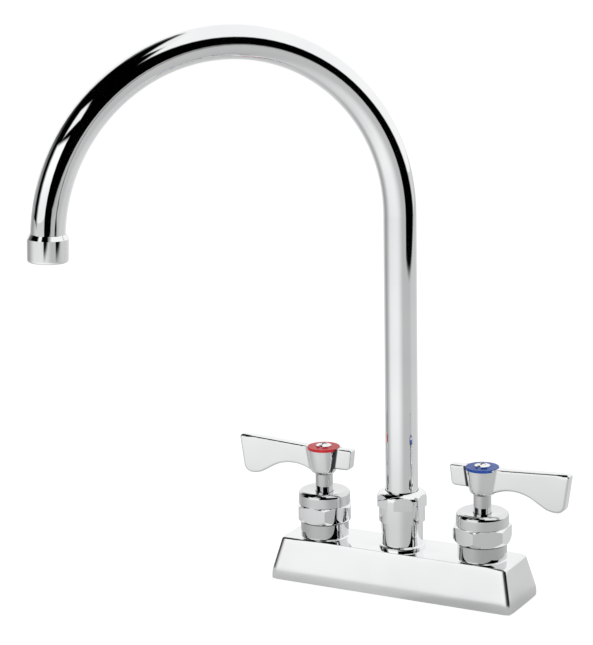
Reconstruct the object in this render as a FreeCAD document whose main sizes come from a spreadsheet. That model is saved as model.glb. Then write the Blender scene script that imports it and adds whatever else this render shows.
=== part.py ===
import FreeCAD, Part
import math
import os
import re
import Sketcher

# Deck-mount gooseneck faucet with two quarter-turn valves and a swivel spout.
# +Z is up, the deck is at height 0 and the origin is on the axis of the spout's swivel.
# The valves stand on the X axis, hot on the -X side, and -Y is the user's side.

# Driving sizes in millimetres, angles in degrees.
SIZES = {
    # base casting
    "base_length": 156.1,
    "base_width": 44.1,
    "base_height": 25.0,
    "base_draw_in": 6.0,
    "base_corner_round": 2.4,
    "base_rim_round": 1.0,
    "base_foot_round": 1.2,
    "valve_spacing": 101.6,
    "boss_radius": 14.2,
    "boss_height": 10.0,
    "boss_foot_round": 0.9,
    "column_radius": 12.1,
    "column_height": 16.0,
    "column_foot_round": 0.6,
    "column_bead_radius": 13.7,
    "column_bead_height": 1.9,
    "column_bead_round": 0.9,
    "waterway_radius": 3.5,
    "waterway_height": 19.0,
    "relief_depth": 10.5,
    "relief_width": 28.0,
    "relief_wall": 2.9,
    # valve chamber and its brass cartridge
    "inlet_radius": 10.3,
    "inlet_depth": 11.0,
    "seat_hole_radius": 5.0,
    "seat_web": 2.5,
    "chamber_radius": 10.0,
    "spigot_radius": 12.5,
    "spigot_height": 6.5,
    "seat_washer_thick": 2.0,
    "disc_thick": 3.0,
    "disc_radius": 8.2,
    "disc_clearance": 0.2,
    "port_inner_radius": 2.6,
    "port_outer_radius": 6.8,
    "port_half_angle": 34.0,
    "cartridge_gap": 0.1,
    "skirt_wall": 0.6,
    "skirt_height": 11.5,
    "window_radius": 1.7,
    "cartridge_flange": 1.7,
    "cartridge_neck_radius": 9.0,
    "cartridge_neck_height": 5.3,
    # seals
    "cord_radius": 0.95,
    "seal_stand": 0.05,
    "groove_room": 0.1,
    # stem
    "stem_radius": 5.1,
    "stem_clearance": 0.06,
    "stem_collar_radius": 6.0,
    "stem_collar_height": 3.5,
    "stem_end_play": 0.3,
    "stem_seal_height": 33.0,
    "stem_seal_pitch": 5.0,
    "neck_height": 9.7,
    "drive_square": 6.6,
    "drive_height": 10.3,
    "drive_clearance": 0.05,
    "tang_width": 3.0,
    "tang_length": 9.0,
    "tang_depth": 1.4,
    "tang_clearance": 0.1,
    # bonnet and its nut
    "nut_height": 9.7,
    "nut_half_width": 15.55,
    "nut_top_bevel": 1.5,
    "nut_foot_bevel": 2.3,
    "nut_lip_radius": 9.4,
    "hot_nut_turn": -3.1,
    "cold_nut_turn": 34.8,
    "bonnet_radius": 15.2,
    "bonnet_height": 8.3,
    "bonnet_rim_radius": 12.8,
    "bonnet_shoulder": 2.9,
    "bonnet_round": 3.0,
    "bonnet_dish": 1.2,
    "bonnet_hole_radius": 5.4,
    "thread_gap": 0.1,
    # lever handles
    "hub_height": 16.2,
    "hub_rim_radius": 10.2,
    "hub_waist_radius": 8.9,
    "hub_waist_height": 6.9,
    "hub_foot_radius": 5.9,
    "hub_foot_round": 8.0,
    "lever_turn": 1.5,
    "lever_thick": 6.4,
    "lever_edge_round": 1.2,
    "wing_top_tilt": 3.5,
    "wing_reach": 54.7,
    "wing_tip_lean": 8.2,
    "arch_reach": 19.7,
    "arch_rise": 4.7,
    "arch_radius": 25.6,
    "arch_root_lift": 0.4,
    "lobe_drop_angle": 30.2,
    "lobe_straight": 7.1,
    "lobe_radius": 14.0,
    "tip_round": 6.4,
    "stub_reach": 19.5,
    "stub_height": 12.5,
    "stub_rise": 0.6,
    "stub_round": 2.0,
    # index ring and handle screw
    "ring_radius": 9.6,
    "ring_thick": 1.5,
    "ring_stand": 0.3,
    "ring_edge": 0.3,
    "screw_head_radius": 4.5,
    "screw_head_height": 1.5,
    "screw_stand": 1.0,
    "screw_crown": 1.1,
    "screw_shank_radius": 1.9,
    "screw_length": 11.0,
    "screw_clearance": 0.1,
    "cross_width": 0.9,
    "cross_length": 4.6,
    "cross_depth": 1.3,
    # spout
    "tube_radius": 9.4,
    "tube_wall": 1.15,
    "bend_radius": 102.8,
    "bend_height": 221.0,
    "bend_sweep": 177.8,
    "spout_turn": 49.9,
    "tail_radius": 8.62,
    "tail_clearance": 0.06,
    "tail_bore_radius": 6.0,
    "tail_length": 23.0,
    "tail_flange_radius": 10.3,
    "tail_flange": 2.0,
    "tail_spigot": 10.0,
    "tail_seal_depth": 6.0,
    "tail_seal_pitch": 6.0,
    "column_floor": 14.0,
    "column_spigot_radius": 11.0,
    "column_spigot_height": 9.0,
    "bush_thick": 3.0,
    "bush_clearance": 0.1,
    "spout_nut_radius": 13.4,
    "spout_nut_skirt": 8.6,
    "spout_nut_height": 18.0,
    "spout_nut_half_width": 13.35,
    "spout_nut_corner_radius": 14.4,
    "spout_nut_round": 4.4,
    "spout_nut_hole_gap": 0.3,
    "spout_nut_turn": 27.8,
    # outlet
    "ferrule_radius": 11.15,
    "ferrule_length": 12.6,
    "ferrule_shoulder": 2.5,
    "ferrule_round": 1.5,
    "ferrule_ledge": 1.5,
    "ferrule_lip": 0.3,
    "ferrule_thread_radius": 9.4,
    "outlet_washer_thick": 1.6,
    "outlet_washer_bore": 7.2,
    "screen_thick": 0.8,
    "aerator_length": 7.4,
    "aerator_wall": 1.3,
    "aerator_floor": 2.6,
    "jet_radius": 0.9,
    "jet_circle": 5.4,
}

# Levels above the deck, each worked out from the pieces below it.
VALVE = "valve_spacing / 2"
CHAMBER_FLOOR = "(inlet_depth + seat_web)"
WASHER_TOP = f"({CHAMBER_FLOOR} + seat_washer_thick)"
FIXED_TOP = f"({WASHER_TOP} + disc_thick)"
MOVING_TOP = f"({FIXED_TOP} + disc_thick)"
COLLAR_TOP = f"({MOVING_TOP} + stem_collar_height)"
SHOULDER = f"({COLLAR_TOP} + stem_end_play)"
SKIRT_TOP = f"({WASHER_TOP} + skirt_height)"
BOSS_TOP = "(base_height + boss_height)"
SPIGOT_TOP = f"({BOSS_TOP} + spigot_height)"
FLANGE_TOP = f"({SPIGOT_TOP} + cartridge_flange)"
NUT_TOP = f"({BOSS_TOP} + nut_height)"
CARTRIDGE_TOP = f"({NUT_TOP} + cartridge_neck_height)"
BONNET_TOP = f"({NUT_TOP} + bonnet_height)"
HUB_FOOT = f"({BONNET_TOP} + neck_height)"
HUB_TOP = f"({HUB_FOOT} + hub_height)"
DRIVE_TOP = f"({HUB_FOOT} + drive_height)"
RING_SEAT = f"({HUB_TOP} + ring_stand - ring_thick)"
HEAD_SEAT = f"({HUB_TOP} - screw_head_height)"
BEAD_TOP = "(base_height + column_bead_height)"
COLUMN_TOP = "(base_height + column_height)"
COLUMN_SPIGOT_TOP = f"({COLUMN_TOP} + column_spigot_height)"
TUBE_FOOT = f"({COLUMN_SPIGOT_TOP} + tail_flange)"
BUSH_TOP = f"({TUBE_FOOT} + bush_thick)"
SPOUT_NUT_TOP = f"({COLUMN_TOP} + spout_nut_height)"

# Radii that follow from a neighbour's size and the clearance between the two.
CARTRIDGE_RADIUS = "(chamber_radius - cartridge_gap)"
CUP_RADIUS = "(disc_radius + disc_clearance)"
SKIRT_RADIUS = f"({CUP_RADIUS} + skirt_wall)"
STEM_BORE = "(stem_radius + stem_clearance)"
TAIL_BORE = "(tail_radius + tail_clearance)"
TUBE_BORE = "(tube_radius - tube_wall)"
NUT_BORE = "(spigot_radius + thread_gap)"
SPOUT_NUT_BORE = "(column_spigot_radius + thread_gap)"
BUSH_BORE = "(tube_radius + bush_clearance)"
AERATOR_RADIUS = "(ferrule_thread_radius - thread_gap)"

TOUCH = 1e-4
OVERRUN = "1"

doc = FreeCAD.newDocument("faucet")
sheet = doc.addObject("Spreadsheet::Sheet", "size")
for row, (alias, size) in enumerate(SIZES.items(), 1):
    sheet.set(f"A{row}", alias)
    sheet.set(f"B{row}", str(size))
    sheet.setAlias(f"B{row}", alias)
doc.recompute()

pieces = []


def bound(formula):
    """A formula in the names of the sizes, with each name turned into its cell."""
    def cell(word):
        return f"size.{word[0]}" if word[0] in SIZES else word[0]
    return re.sub(r"[a-z_]+", cell, str(formula))


def number(formula):
    """The present value of a formula in the names of the sizes."""
    return float(sheet.evalExpression(bound(formula)))


def bind(thing, setting, formula):
    thing.setExpression(setting, bound(formula))


def new_piece(label, place=None):
    """An empty body that will be written under this label, set down by a placement formula."""
    body = doc.addObject("PartDesign::Body", label)
    body.Label = label
    if place:
        bind(body, "Placement", place)
    pieces.append(body)
    return body


def at_valve(side, turn="0"):
    """Placement formula of a piece that was drawn about its own axis and belongs to a valve."""
    return f"placement(vector({side} * {VALVE}; 0; 0); rotation(vector(0; 0; 1); {turn}))"


def new_sketch(body, plane="XZ_Plane", level="0", across="0"):
    """A sketch on one of the body's planes, moved along the plane's normal and sideways in it."""
    sketch = body.newObject("Sketcher::SketchObject", f"{body.Name}_sketch")
    base_plane = next(item for item in body.Origin.OriginFeatures if item.Role == plane)
    sketch.AttachmentSupport = [(base_plane, "")]
    sketch.MapMode = "FlatFace"
    bind(sketch, "AttachmentOffset.Base.z", level)
    bind(sketch, "AttachmentOffset.Base.x", across)
    return sketch


def fix(sketch, kind, *where, formula):
    """A driving dimension whose value is a formula."""
    index = sketch.addConstraint(Sketcher.Constraint(kind, *where, number(formula)))
    bind(sketch, f"Constraints[{index}]", formula)


def arc_through(start, end, radius):
    """Minor arc between two points. A positive radius keeps the centre on the left of the way."""
    middle = (start + end) / 2
    along = end - start
    reach = math.sqrt(max(radius**2 - (along.Length / 2)**2, 0))
    left = FreeCAD.Vector(-along.y, along.x, 0).normalize()
    centre = middle + left * math.copysign(reach, radius)
    angles = [math.atan2(point.y - centre.y, point.x - centre.x) for point in (start, end)]
    if radius < 0:
        angles.reverse()
    return Part.ArcOfCircle(Part.Circle(centre, FreeCAD.Vector(0, 0, 1), abs(radius)), *angles)


def outline(sketch, corners):
    """Closed outline through corners (x, y) or (x, y, radius). A radius bends the side that follows."""
    first = sketch.GeometryCount
    spots = [FreeCAD.Vector(number(corner[0]), number(corner[1]), 0) for corner in corners]
    ends = []
    for corner, start, end in zip(corners, spots, spots[1:] + spots[:1]):
        if len(corner) == 3:
            radius = number(corner[2])
            side = sketch.addGeometry(arc_through(start, end, radius), False)
            ends.append((1, 2) if radius > 0 else (2, 1))
            fix(sketch, "Radius", side, formula=f"abs({corner[2]})")
        else:
            sketch.addGeometry(Part.LineSegment(start, end), False)
            ends.append((1, 2))
    count = len(corners)
    for side, corner in enumerate(corners):
        after = (side + 1) % count
        sketch.addConstraint(Sketcher.Constraint(
            "Coincident", first + side, ends[side][1], first + after, ends[after][0]))
        fix(sketch, "DistanceX", -1, 1, first + side, ends[side][0], formula=corner[0])
        fix(sketch, "DistanceY", -1, 1, first + side, ends[side][0], formula=corner[1])


def circle(sketch, x, y, radius):
    spot = FreeCAD.Vector(number(x), number(y), 0)
    side = sketch.addGeometry(Part.Circle(spot, FreeCAD.Vector(0, 0, 1), number(radius)), False)
    fix(sketch, "Radius", side, formula=radius)
    fix(sketch, "DistanceX", -1, 1, side, 3, formula=x)
    fix(sketch, "DistanceY", -1, 1, side, 3, formula=y)


def rectangle(sketch, low_x, low_y, high_x, high_y):
    outline(sketch, [(low_x, low_y), (high_x, low_y), (high_x, high_y), (low_x, high_y)])


def regular_hexagon(sketch, half_width):
    """Hexagon with a flat towards -Y."""
    outline(sketch, [
        (f"{half_width} / cos(30) * cos({angle})", f"{half_width} / cos(30) * sin({angle})")
        for angle in range(0, 360, 60)])


def feature(body, kind, sketch):
    """The next step of a body, made from a sketch."""
    before = body.Tip.Shape.Volume if body.Tip else 0
    step = body.newObject(f"PartDesign::{kind}", f"{body.Name}_{kind.lower()}")
    step.Profile = sketch
    return step, before


def finish_step(step, before, adds):
    """Recompute a step and make sure that it changed the solid the way it should."""
    doc.recompute()
    change = step.Shape.Volume - before
    if not step.isValid() or (change <= 0 if adds else change >= 0):
        raise RuntimeError(f"{step.Name} left {step.Shape.Volume} from {before}: {step.State}")
    return step


def turned(body, corners, across="0", cut=False):
    """Turn an outline of (radius, height) corners about the upright axis."""
    sketch = new_sketch(body, across=across)
    outline(sketch, corners)
    step, before = feature(body, "Groove" if cut else "Revolution", sketch)
    step.ReferenceAxis = (sketch, ["V_Axis"])
    return finish_step(step, before, adds=not cut)


def raised(body, sketch, length, cut=False, both_ways=False, backwards=False):
    """Pad or pocket a sketch along its plane's normal, or to both sides of the plane."""
    step, before = feature(body, "Pocket" if cut else "Pad", sketch)
    bind(step, "Length", length)
    if both_ways:
        step.SideType = "Symmetric"
    else:
        step.Reversed = cut != backwards
    return finish_step(step, before, adds=not cut)


def rounded(body, radius, edges):
    """Round the edges that a test picks out of the body's present shape."""
    base = body.Tip
    names = [f"Edge{index}" for index, edge in enumerate(base.Shape.Edges, 1) if edges(edge)]
    if not names:
        raise RuntimeError(f"no edge to round on {body.Name}")
    step = body.newObject("PartDesign::Fillet", f"{body.Name}_round")
    step.Base = (base, names)
    bind(step, "Radius", radius)
    doc.recompute()
    if not step.isValid() or not step.Shape.isValid():
        raise RuntimeError(f"{step.Name}: {step.State}")
    return step


def rim(radius, level, x="0"):
    """Test for a circular edge about an upright axis."""
    spot = FreeCAD.Vector(number(x), 0, number(level))

    def found(edge):
        curve = edge.Curve
        return (isinstance(curve, Part.Circle) and abs(curve.Radius - number(radius)) < TOUCH
                and curve.Center.distanceToPoint(spot) < TOUCH)
    return found


def at_level(level):
    """Test for an edge that lies flat at one height."""
    height = number(level)
    return lambda edge: abs(edge.BoundBox.ZMin - height) < TOUCH and abs(edge.BoundBox.ZMax - height) < TOUCH


def o_rings(label, place, centre_radius, levels):
    """One or more rubber rings about one axis, kept together in one node."""
    rings = []
    for level in levels:
        ring = doc.addObject("Part::Torus", f"{label}_ring")
        bind(ring, "Radius1", centre_radius)
        bind(ring, "Radius2", "cord_radius")
        bind(ring, "Placement.Base.z", level)
        rings.append(ring)
    group = doc.addObject("Part::Compound", label)
    group.Links = rings
    group.Label = label
    bind(group, "Placement", place)
    pieces.append(group)


def groove_corners(radius, levels, floor_radius):
    """The corners of the seals' grooves, met on the way up the outside of a turned piece."""
    half = "(cord_radius + groove_room)"
    corners = []
    for level in levels:
        corners += [(radius, f"{level} - {half}"), (floor_radius, f"{level} - {half}"),
                    (floor_radius, f"{level} + {half}"), (radius, f"{level} + {half}")]
    return corners


def make_base():
    """Hipped casting with a boss for each valve, the spout's column and the ways for the water."""
    body = new_piece("base_body")
    foot = new_sketch(body, "XY_Plane")
    rectangle(foot, "-base_length / 2", "-base_width / 2", "base_length / 2", "base_width / 2")
    hip, before = feature(body, "Pad", foot)
    bind(hip, "Length", "base_height")
    bind(hip, "TaperAngle", "-atan(base_draw_in / base_height)")
    finish_step(hip, before, adds=True)
    height = number("base_height")
    rounded(body, "base_corner_round", lambda edge: abs(edge.BoundBox.ZLength - height) < TOUCH)
    rounded(body, "base_rim_round", at_level("base_height"))
    rounded(body, "base_foot_round", at_level("0"))

    for side in (-1, 1):
        turned(body, [
            ("0", "waterway_height"), ("boss_radius", "waterway_height"), ("boss_radius", BOSS_TOP),
            ("spigot_radius", BOSS_TOP), ("spigot_radius", SPIGOT_TOP), ("0", SPIGOT_TOP)],
            across=f"{side} * {VALVE}")
    turned(body, [
        ("0", "waterway_height"), ("column_bead_radius", "waterway_height"), ("column_bead_radius", BEAD_TOP),
        ("column_radius", BEAD_TOP), ("column_radius", COLUMN_TOP),
        ("column_spigot_radius", COLUMN_TOP), ("column_spigot_radius", COLUMN_SPIGOT_TOP),
        ("0", COLUMN_SPIGOT_TOP)])
    feet = [rim("boss_radius", "base_height", f"{side} * {VALVE}") for side in (-1, 1)]
    rounded(body, "boss_foot_round", lambda edge: any(foot_rim(edge) for foot_rim in feet))
    rounded(body, "column_bead_round", rim("column_bead_radius", BEAD_TOP))
    rounded(body, "column_foot_round", rim("column_radius", BEAD_TOP))

    for side in (-1, 1):
        turned(body, [
            ("0", f"-{OVERRUN}"), ("inlet_radius", f"-{OVERRUN}"), ("inlet_radius", "inlet_depth"),
            ("seat_hole_radius", "inlet_depth"), ("seat_hole_radius", CHAMBER_FLOOR),
            ("chamber_radius", CHAMBER_FLOOR), ("chamber_radius", f"{SPIGOT_TOP} + {OVERRUN}"),
            ("0", f"{SPIGOT_TOP} + {OVERRUN}")],
            across=f"{side} * {VALVE}", cut=True)
    turned(body, [
        ("0", "column_floor"), (TAIL_BORE, "column_floor"),
        (TAIL_BORE, f"{COLUMN_SPIGOT_TOP} + {OVERRUN}"), ("0", f"{COLUMN_SPIGOT_TOP} + {OVERRUN}")], cut=True)

    waterway = new_sketch(body, "YZ_Plane")
    circle(waterway, "0", "waterway_height", "waterway_radius")
    raised(body, waterway, "valve_spacing", cut=True, both_ways=True)

    reliefs = new_sketch(body, "XY_Plane")
    near, far = "(boss_radius)", f"({VALVE} - inlet_radius - relief_wall)"
    rectangle(reliefs, near, "-relief_width / 2", far, "relief_width / 2")
    rectangle(reliefs, f"-{far}", "-relief_width / 2", f"-{near}", "relief_width / 2")
    raised(body, reliefs, "relief_depth", cut=True)


def sector_ports(body, turn, level, depth):
    """Two ports opposite each other, cut through a disc upwards from a level."""
    sketch = new_sketch(body, "XY_Plane", level=level)
    for middle in (turn, turn + 180):
        low, high = f"({middle} - port_half_angle)", f"({middle} + port_half_angle)"
        outline(sketch, [
            (f"port_inner_radius * cos({low})", f"port_inner_radius * sin({low})"),
            (f"port_outer_radius * cos({low})", f"port_outer_radius * sin({low})", "port_outer_radius"),
            (f"port_outer_radius * cos({high})", f"port_outer_radius * sin({high})"),
            (f"port_inner_radius * cos({high})", f"port_inner_radius * sin({high})", "-port_inner_radius")])
    raised(body, sketch, depth, cut=True)


def make_discs(name, side, turn):
    """The rubber seat and the two ceramic discs, with their ports crossed when the valve is shut."""
    washer = new_piece(f"{name}_seat_washer", at_valve(side))
    turned(washer, [
        ("seat_hole_radius", CHAMBER_FLOOR), (SKIRT_RADIUS, CHAMBER_FLOOR),
        (SKIRT_RADIUS, WASHER_TOP), ("seat_hole_radius", WASHER_TOP)])

    fixed = new_piece(f"{name}_fixed_disc", at_valve(side))
    turned(fixed, [
        ("0", WASHER_TOP), ("disc_radius", WASHER_TOP), ("disc_radius", FIXED_TOP), ("0", FIXED_TOP)])
    sector_ports(fixed, 0, WASHER_TOP, "disc_thick")

    moving = new_piece(f"{name}_moving_disc", at_valve(side, turn))
    turned(moving, [
        ("0", FIXED_TOP), ("disc_radius", FIXED_TOP), ("disc_radius", MOVING_TOP), ("0", MOVING_TOP)])
    sector_ports(moving, 90, FIXED_TOP, "disc_thick")
    slot = new_sketch(moving, "XY_Plane", level=MOVING_TOP)
    half_length, half_width = "(tang_length / 2 + tang_clearance)", "(tang_width / 2 + tang_clearance)"
    rectangle(slot, f"-{half_length}", f"-{half_width}", half_length, half_width)
    raised(moving, slot, "tang_depth + tang_clearance", cut=True, backwards=True)


def make_cartridge(name, side):
    """Brass cartridge: cup over the discs, water windows, seal groove, clamped flange and stem bore."""
    body = new_piece(f"{name}_cartridge_body", at_valve(side))
    seal_level = f"({SKIRT_TOP} + {SPIGOT_TOP}) / 2"
    groove_floor = f"({CARTRIDGE_RADIUS} - 2 * cord_radius + seal_stand)"
    turned(body, [
        (CUP_RADIUS, WASHER_TOP), (SKIRT_RADIUS, WASHER_TOP), (SKIRT_RADIUS, SKIRT_TOP),
        (CARTRIDGE_RADIUS, SKIRT_TOP), *groove_corners(CARTRIDGE_RADIUS, [seal_level], groove_floor),
        (CARTRIDGE_RADIUS, SPIGOT_TOP), ("spigot_radius", SPIGOT_TOP), ("spigot_radius", FLANGE_TOP),
        ("cartridge_neck_radius", FLANGE_TOP), ("cartridge_neck_radius", CARTRIDGE_TOP),
        (STEM_BORE, CARTRIDGE_TOP), (STEM_BORE, SHOULDER), (CUP_RADIUS, SHOULDER)])
    window_level = f"({MOVING_TOP} + {SHOULDER}) / 2"
    for plane in ("XZ_Plane", "YZ_Plane"):
        window = new_sketch(body, plane)
        circle(window, "0", window_level, "window_radius")
        raised(body, window, f"2 * {SKIRT_RADIUS} + {OVERRUN}", cut=True, both_ways=True)
    o_rings(f"{name}_cartridge_o_ring", at_valve(side), f"{groove_floor} + cord_radius", [seal_level])


def make_stem(name, side, turn):
    """Stem with a tang for the moving disc, two seal grooves and a square for the handle."""
    body = new_piece(f"{name}_stem", at_valve(side, turn))
    seal_levels = ["stem_seal_height", "(stem_seal_height + stem_seal_pitch)"]
    groove_floor = "(stem_radius - 2 * cord_radius)"
    grooves = groove_corners("stem_radius", seal_levels, groove_floor)
    turned(body, [
        ("0", MOVING_TOP), ("stem_collar_radius", MOVING_TOP), ("stem_collar_radius", COLLAR_TOP),
        ("stem_radius", COLLAR_TOP), *grooves, ("stem_radius", HUB_FOOT), ("0", HUB_FOOT)])
    tang = new_sketch(body, "XY_Plane", level=MOVING_TOP)
    rectangle(tang, "-tang_length / 2", "-tang_width / 2", "tang_length / 2", "tang_width / 2")
    raised(body, tang, "tang_depth", backwards=True)
    square = new_sketch(body, "XY_Plane", level=HUB_FOOT)
    rectangle(square, *[f"{sign}drive_square / 2" for sign in ("-", "-", "", "")])
    raised(body, square, "drive_height")
    hole = "(screw_shank_radius + screw_clearance)"
    turned(body, [
        ("0", f"{DRIVE_TOP} - screw_length"), (hole, f"{DRIVE_TOP} - screw_length"),
        (hole, f"{DRIVE_TOP} + {OVERRUN}"), ("0", f"{DRIVE_TOP} + {OVERRUN}")], cut=True)
    o_rings(f"{name}_stem_o_rings", at_valve(side, turn), f"{groove_floor} + cord_radius", seal_levels)


def make_bonnet(name, side):
    """Hexagon nut that clamps the cartridge, and the round-shouldered, dished bonnet that hides it."""
    nut = new_piece(f"{name}_bonnet_nut", at_valve(side, f"{name}_nut_turn"))
    hexagon = new_sketch(nut, "XY_Plane", level=BOSS_TOP)
    regular_hexagon(hexagon, "nut_half_width")
    raised(nut, hexagon, "nut_height")
    corner = "nut_half_width / cos(30)"
    outside = f"({corner} + {OVERRUN})"
    for level, inward, bevel in ((BOSS_TOP, "+", "nut_foot_bevel"), (NUT_TOP, "-", "nut_top_bevel")):
        slope = f"({bevel} / ({corner} - nut_half_width))"
        turned(nut, [
            ("nut_half_width", level), (outside, level),
            (outside, f"{level} {inward} {slope} * ({outside} - nut_half_width)")], cut=True)
    turned(nut, [
        ("0", f"{BOSS_TOP} - {OVERRUN}"), (NUT_BORE, f"{BOSS_TOP} - {OVERRUN}"), (NUT_BORE, FLANGE_TOP),
        ("nut_lip_radius", FLANGE_TOP), ("nut_lip_radius", f"{NUT_TOP} + {OVERRUN}"),
        ("0", f"{NUT_TOP} + {OVERRUN}")], cut=True)

    bonnet = new_piece(f"{name}_bonnet", at_valve(side))
    bore, ceiling = "(cartridge_neck_radius + thread_gap)", f"({CARTRIDGE_TOP} + thread_gap)"
    turned(bonnet, [
        (bore, NUT_TOP), ("bonnet_radius", NUT_TOP),
        ("bonnet_radius", f"{BONNET_TOP} - bonnet_shoulder", "bonnet_round"),
        ("bonnet_rim_radius", BONNET_TOP), ("bonnet_hole_radius", f"{BONNET_TOP} - bonnet_dish"),
        ("bonnet_hole_radius", ceiling), (bore, ceiling)])


def make_lever(name, side, turn):
    """Lever handle: a cup-shaped hub with a long wing on the outer side and a short stub inside."""
    body = new_piece(f"{name}_lever_handle", at_valve(side, turn))
    turned(body, [
        ("0", HUB_FOOT), ("hub_foot_radius", HUB_FOOT, "hub_foot_round"),
        ("hub_waist_radius", f"{HUB_FOOT} + hub_waist_height"), ("hub_rim_radius", HUB_TOP), ("0", HUB_TOP)])

    arch_centre = f"({HUB_FOOT} + arch_rise - arch_radius)"
    drop_x = "(arch_reach + arch_radius * sin(lobe_drop_angle))"
    drop_z = f"({arch_centre} + arch_radius * cos(lobe_drop_angle))"
    lobe_x = f"({drop_x} + lobe_straight * cos(lobe_drop_angle))"
    lobe_z = f"({drop_z} - lobe_straight * sin(lobe_drop_angle))"
    low_x = f"({lobe_x} + lobe_radius * sin(lobe_drop_angle))"
    low_z = f"({lobe_z} + lobe_radius * (cos(lobe_drop_angle) - 1))"
    tip_x = f"({low_x} + tip_round * cos(wing_tip_lean))"
    tip_z = f"({low_z} + tip_round * (1 - sin(wing_tip_lean)))"
    root_z = f"({HUB_FOOT} + arch_root_lift)"
    root_x = f"(arch_reach - sqrt(arch_radius ^ 2 - ({root_z} - {arch_centre}) ^ 2))"
    wing = new_sketch(body)
    outline(wing, [
        ("0", HUB_TOP), ("0", root_z), (root_x, root_z, "-arch_radius"),
        (drop_x, drop_z), (lobe_x, lobe_z, "lobe_radius"), (low_x, low_z, "tip_round"), (tip_x, tip_z),
        ("wing_reach", f"{HUB_TOP} + (wing_reach - hub_rim_radius) * tan(wing_top_tilt)"),
        ("hub_rim_radius", HUB_TOP)])
    raised(body, wing, "lever_thick", both_ways=True)

    stub = new_sketch(body)
    outline(stub, [
        ("0", f"{HUB_TOP} - stub_height"), ("0", HUB_TOP), ("-stub_reach", HUB_TOP),
        ("-stub_reach + stub_rise", f"{HUB_TOP} - stub_height + stub_rise + stub_round", "stub_round"),
        ("-stub_reach + stub_rise + stub_round", f"{HUB_TOP} - stub_height + stub_rise")])
    raised(body, stub, "lever_thick", both_ways=True)
    side_level = number("lever_thick") / 2

    def outline_edge(edge):
        box = edge.BoundBox
        return (box.YLength < TOUCH and abs(abs(box.YMax) - side_level) < TOUCH
                and isinstance(edge.Curve, (Part.Line, Part.Circle)))
    rounded(body, "lever_edge_round", outline_edge)

    half_square = "(drive_square / 2 + drive_clearance)"
    socket = new_sketch(body, "XY_Plane", level=HUB_FOOT)
    rectangle(socket, f"-{half_square}", f"-{half_square}", half_square, half_square)
    raised(body, socket, "drive_height + drive_clearance", cut=True)
    head_bore, ring_bore = "(screw_head_radius + screw_clearance)", "(ring_radius + screw_clearance)"
    turned(body, [
        ("0", HUB_FOOT), ("screw_shank_radius + screw_clearance", HUB_FOOT),
        ("screw_shank_radius + screw_clearance", HEAD_SEAT), (head_bore, HEAD_SEAT), (head_bore, RING_SEAT),
        (ring_bore, RING_SEAT), (ring_bore, f"{HUB_TOP} + {OVERRUN}"), ("0", f"{HUB_TOP} + {OVERRUN}")],
        cut=True)


def make_trim(name, side, turn):
    """Coloured index ring let into the hub, and the cross-slotted screw through it."""
    ring = new_piece(f"{name}_index_ring", at_valve(side))
    bore = "(screw_head_radius + screw_clearance)"
    turned(ring, [
        (bore, RING_SEAT), ("ring_radius", RING_SEAT),
        ("ring_radius", f"{RING_SEAT} + ring_thick - ring_edge", "ring_edge"),
        ("ring_radius - ring_edge", f"{RING_SEAT} + ring_thick"), (bore, f"{RING_SEAT} + ring_thick")])

    screw = new_piece(f"{name}_handle_screw", at_valve(side, turn))
    crown_radius = "((screw_head_radius ^ 2 + screw_crown ^ 2) / (2 * screw_crown))"
    rim_level = f"({HUB_TOP} + screw_stand)"
    turned(screw, [
        ("0", f"{DRIVE_TOP} - screw_length + screw_clearance"),
        ("screw_shank_radius", f"{DRIVE_TOP} - screw_length + screw_clearance"),
        ("screw_shank_radius", HEAD_SEAT), ("screw_head_radius", HEAD_SEAT),
        ("screw_head_radius", rim_level, crown_radius), ("0", f"{rim_level} + screw_crown")])
    cross = new_sketch(screw, "XY_Plane", level=f"{rim_level} + screw_crown")
    arm, half = "(cross_length / 2)", "(cross_width / 2)"
    outline(cross, [
        (arm, f"-{half}"), (arm, half), (half, half), (half, arm), (f"-{half}", arm), (f"-{half}", half),
        (f"-{arm}", half), (f"-{arm}", f"-{half}"), (f"-{half}", f"-{half}"), (f"-{half}", f"-{arm}"),
        (half, f"-{arm}"), (half, f"-{half}")])
    raised(screw, cross, "cross_depth", cut=True, backwards=True)


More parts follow.
